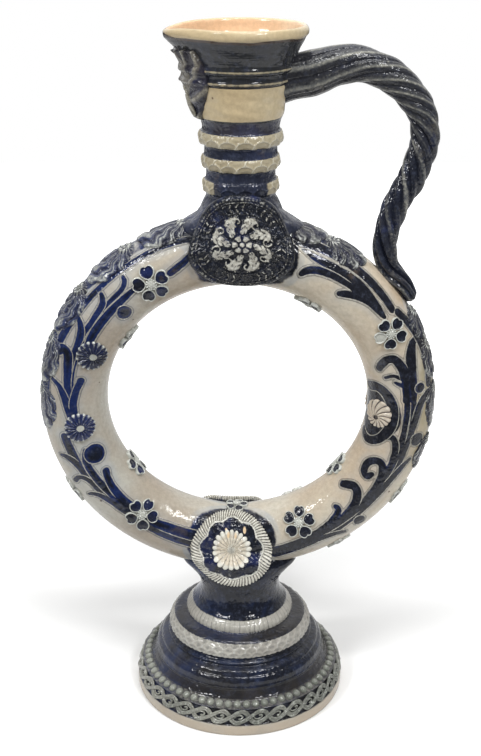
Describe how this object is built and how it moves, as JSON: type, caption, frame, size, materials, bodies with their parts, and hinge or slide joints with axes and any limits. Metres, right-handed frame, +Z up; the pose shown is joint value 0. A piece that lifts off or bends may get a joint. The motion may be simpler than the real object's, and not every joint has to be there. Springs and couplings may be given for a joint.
{
  "type": "ring ewer",
  "caption": "Salt-glazed stoneware ring ewer: hollow ring body on a banded foot, ribbed neck, cup mouth with pinched spout and mask, twisted handle, cobalt flower and leaf sprigs.",
  "frame": {"origin": "on the resting plane under the ring's middle; the foot's axis stands 1.3 mm and the neck's 1.8 mm nearer the handle", "axes": "+Z up along the neck's axis, +X towards the handle, -Y the side facing the camera, so the ring lies in the XZ plane"},
  "size_m": [0.2404, 0.1352, 0.4196],
  "materials": {
    "ring_glaze": "warm grey salt glaze with an orange-peel skin, iron specks and painted cobalt stems and leaves",
    "foot_glaze": "glossy cobalt pooled over grey salt glaze, brown where it breaks, unglazed beige at the base rim",
    "neck_glaze": "dark blue pooled between worn beige rings",
    "cup_glaze": "slate blue outside over a beige belt, pale lip, orange-tan inside",
    "handle_glaze": "blue-black salt glaze worn grey-green on the ridges",
    "mask_glaze": "grey and blue-black salt glaze, pale on its high points",
    "medallion_glaze": "grey relief on a cobalt field under salt glaze",
    "sprig_glaze": "cobalt filled petals with raised pale rims under salt glaze",
    "leaf_glaze": "grey-beige relief with cobalt in its hollows under salt glaze"
  },
  "bodies": {
    "root": {"daisy_back_1": "sprig_glaze", "daisy_back_2": "sprig_glaze", "daisy_front_1": "sprig_glaze", "daisy_front_2": "sprig_glaze", "foot": "foot_glaze", "foot_rosette_back": "medallion_glaze", "foot_rosette_front": "medallion_glaze", "handle": "handle_glaze", "inner_flower_1": "sprig_glaze", "inner_flower_2": "sprig_glaze", "inner_flower_3": "sprig_glaze", "inner_flower_4": "sprig_glaze", "inner_flower_5": "sprig_glaze", "mouth_cup": "cup_glaze", "neck": "neck_glaze", "neck_medallion_back": "medallion_glaze", "neck_medallion_front": "medallion_glaze", "outer_flower_1": "sprig_glaze", "outer_flower_2": "sprig_glaze", "outer_flower_3": "sprig_glaze", "petal_flower_back_1": "sprig_glaze", "petal_flower_back_2": "sprig_glaze", "petal_flower_back_3": "sprig_glaze", "petal_flower_back_4": "sprig_glaze", "petal_flower_front_1": "sprig_glaze", "petal_flower_front_2": "sprig_glaze", "petal_flower_front_3": "sprig_glaze", "petal_flower_front_4": "sprig_glaze", "ring_body": "ring_glaze", "shoulder_leaf_1": "leaf_glaze", "shoulder_leaf_10": "leaf_glaze", "shoulder_leaf_11": "leaf_glaze", "shoulder_leaf_2": "leaf_glaze", "shoulder_leaf_3": "leaf_glaze", "shoulder_leaf_4": "leaf_glaze", "shoulder_leaf_5": "leaf_glaze", "shoulder_leaf_6": "leaf_glaze", "shoulder_leaf_7": "leaf_glaze", "shoulder_leaf_8": "leaf_glaze", "shoulder_leaf_9": "leaf_glaze", "spout_mask": "mask_glaze", "whorl_rosette_back": "sprig_glaze", "whorl_rosette_front": "sprig_glaze"}
  },
  "joints": []
}
